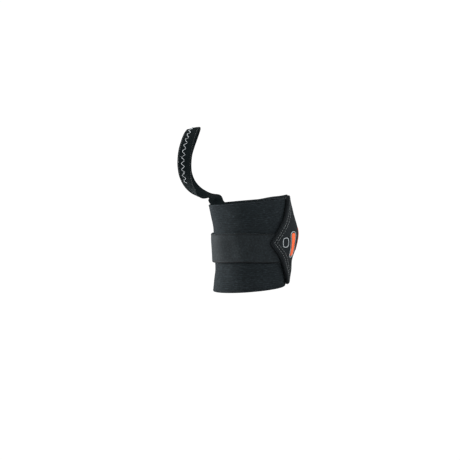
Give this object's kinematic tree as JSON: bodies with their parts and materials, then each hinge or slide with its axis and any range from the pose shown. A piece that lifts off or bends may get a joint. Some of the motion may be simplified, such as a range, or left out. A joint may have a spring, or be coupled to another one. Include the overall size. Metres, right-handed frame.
{
  "type": "wrist support brace",
  "caption": "Elastic wrist wrap with a thumb loop, a pointed hook-and-loop closing patch and a narrow second-stage strap that can be unwound.",
  "frame": {"origin": "centre of the wrist opening in the plane of the forearm rim, which the part stands on", "axes": "+Z runs through the wrist opening from the forearm rim to the hand; -Y is the back of the wrist, where the strap crosses; +X is the little-finger side with the closing patch; the thumb loop is on -X"},
  "size_m": [0.0991, 0.0537, 0.1441],
  "materials": {
    "ribbed_elastic": "matte ribbed weave",
    "binding_tape": "matte",
    "hem_thread": "matte",
    "patch_face": "matte jersey",
    "patch_edge": "matte",
    "grey_thread": "matte",
    "hook_tape": "fine hooks",
    "foam": "matte foam",
    "print_orange": "satin raised print",
    "print_grey": "satin raised print",
    "brushed_strap": "brushed loop pile with a soft sheen",
    "loop_tape": "matte tape",
    "white_thread": "soft elastic thread"
  },
  "bodies": {
    "wrist_band": {"band_inner_turn": "ribbed_elastic", "start_edge_binding": "binding_tape", "start_hem_stitching": "hem_thread", "loop_tail_front": "loop_tape", "loop_tail_palm": "loop_tape", "loop_bar_tacks": "hem_thread"},
    "outer_turn": {"outer_turn_palm": "ribbed_elastic"},
    "closure": {"outer_turn_end": "ribbed_elastic", "closure_patch": "patch_face", "closure_patch_binding": "patch_edge", "patch_stitch_outer": "grey_thread", "patch_stitch_inner": "grey_thread", "patch_seam_stitching": "grey_thread", "patch_hook_panel": "hook_tape", "patch_backing_foam": "foam", "emblem_bar": "print_orange", "emblem_frame": "print_grey", "accent_stripe": "print_orange", "strap_root": "brushed_strap", "strap_anchor_stitching": "hem_thread"},
    "strap_a": {"strap_front": "brushed_strap"},
    "strap_b": {"strap_side": "brushed_strap"},
    "strap_c": {"strap_thumb_side": "brushed_strap"},
    "strap_d": {"strap_palm": "brushed_strap"},
    "strap_tip": {"strap_end": "brushed_strap", "strap_hook_tab": "hook_tape", "strap_hook_stitching": "hem_thread"},
    "thumb_loop": {"thumb_loop_tape": "loop_tape", "loop_zigzag_stitching": "white_thread"}
  },
  "joints": [
    {"name": "outer_turn_lift", "type": "hinge", "parent": "wrist_band", "child": "outer_turn", "pos_m": [0.01001, 0.02531, 0.0381], "axis": [0, 0, 1], "range_deg": [0, 40]},
    {"name": "closure_swing", "type": "hinge", "parent": "outer_turn", "child": "closure", "pos_m": [0.02702, 0.01944, 0.0381], "axis": [0, 0, 1], "range_deg": [0, 28.5]},
    {"name": "strap_front_swing", "type": "hinge", "parent": "closure", "child": "strap_a", "pos_m": [0.01206, -0.02397, 0.0381], "axis": [0, 0, 1], "range_deg": [0, 58.5]},
    {"name": "strap_side_swing", "type": "hinge", "parent": "strap_a", "child": "strap_b", "pos_m": [-0.01066, -0.02421, 0.0381], "axis": [0, 0, 1], "range_deg": [0, 70.5]},
    {"name": "strap_thumb_side_swing", "type": "hinge", "parent": "strap_b", "child": "strap_c", "pos_m": [-0.03467, -0.00843, 0.0381], "axis": [0, 0, 1], "range_deg": [0, 70.5]},
    {"name": "strap_palm_swing", "type": "hinge", "parent": "strap_c", "child": "strap_d", "pos_m": [-0.02494, 0.02079, 0.0381], "axis": [0, 0, 1], "range_deg": [0, 82.5]},
    {"name": "strap_tip_peel", "type": "hinge", "parent": "strap_d", "child": "strap_tip", "pos_m": [-0.00656, 0.0281, 0.0381], "axis": [0, 0, 1], "range_deg": [0, 70]},
    {"name": "thumb_loop_swing", "type": "hinge", "parent": "wrist_band", "child": "thumb_loop", "pos_m": [-0.03171, 0.00441, 0.0806], "axis": [0.4831, 0.8755, 0], "range_deg": [-45, 45]}
  ],
  "couplings": [
    {"joint": "closure_swing", "follows": "outer_turn_lift", "ratio": 0.7},
    {"joint": "strap_front_swing", "follows": "outer_turn_lift", "ratio": 1.45},
    {"joint": "strap_side_swing", "follows": "outer_turn_lift", "ratio": 1.75},
    {"joint": "strap_thumb_side_swing", "follows": "outer_turn_lift", "ratio": 1.75},
    {"joint": "strap_palm_swing", "follows": "outer_turn_lift", "ratio": 2.05}
  ]
}
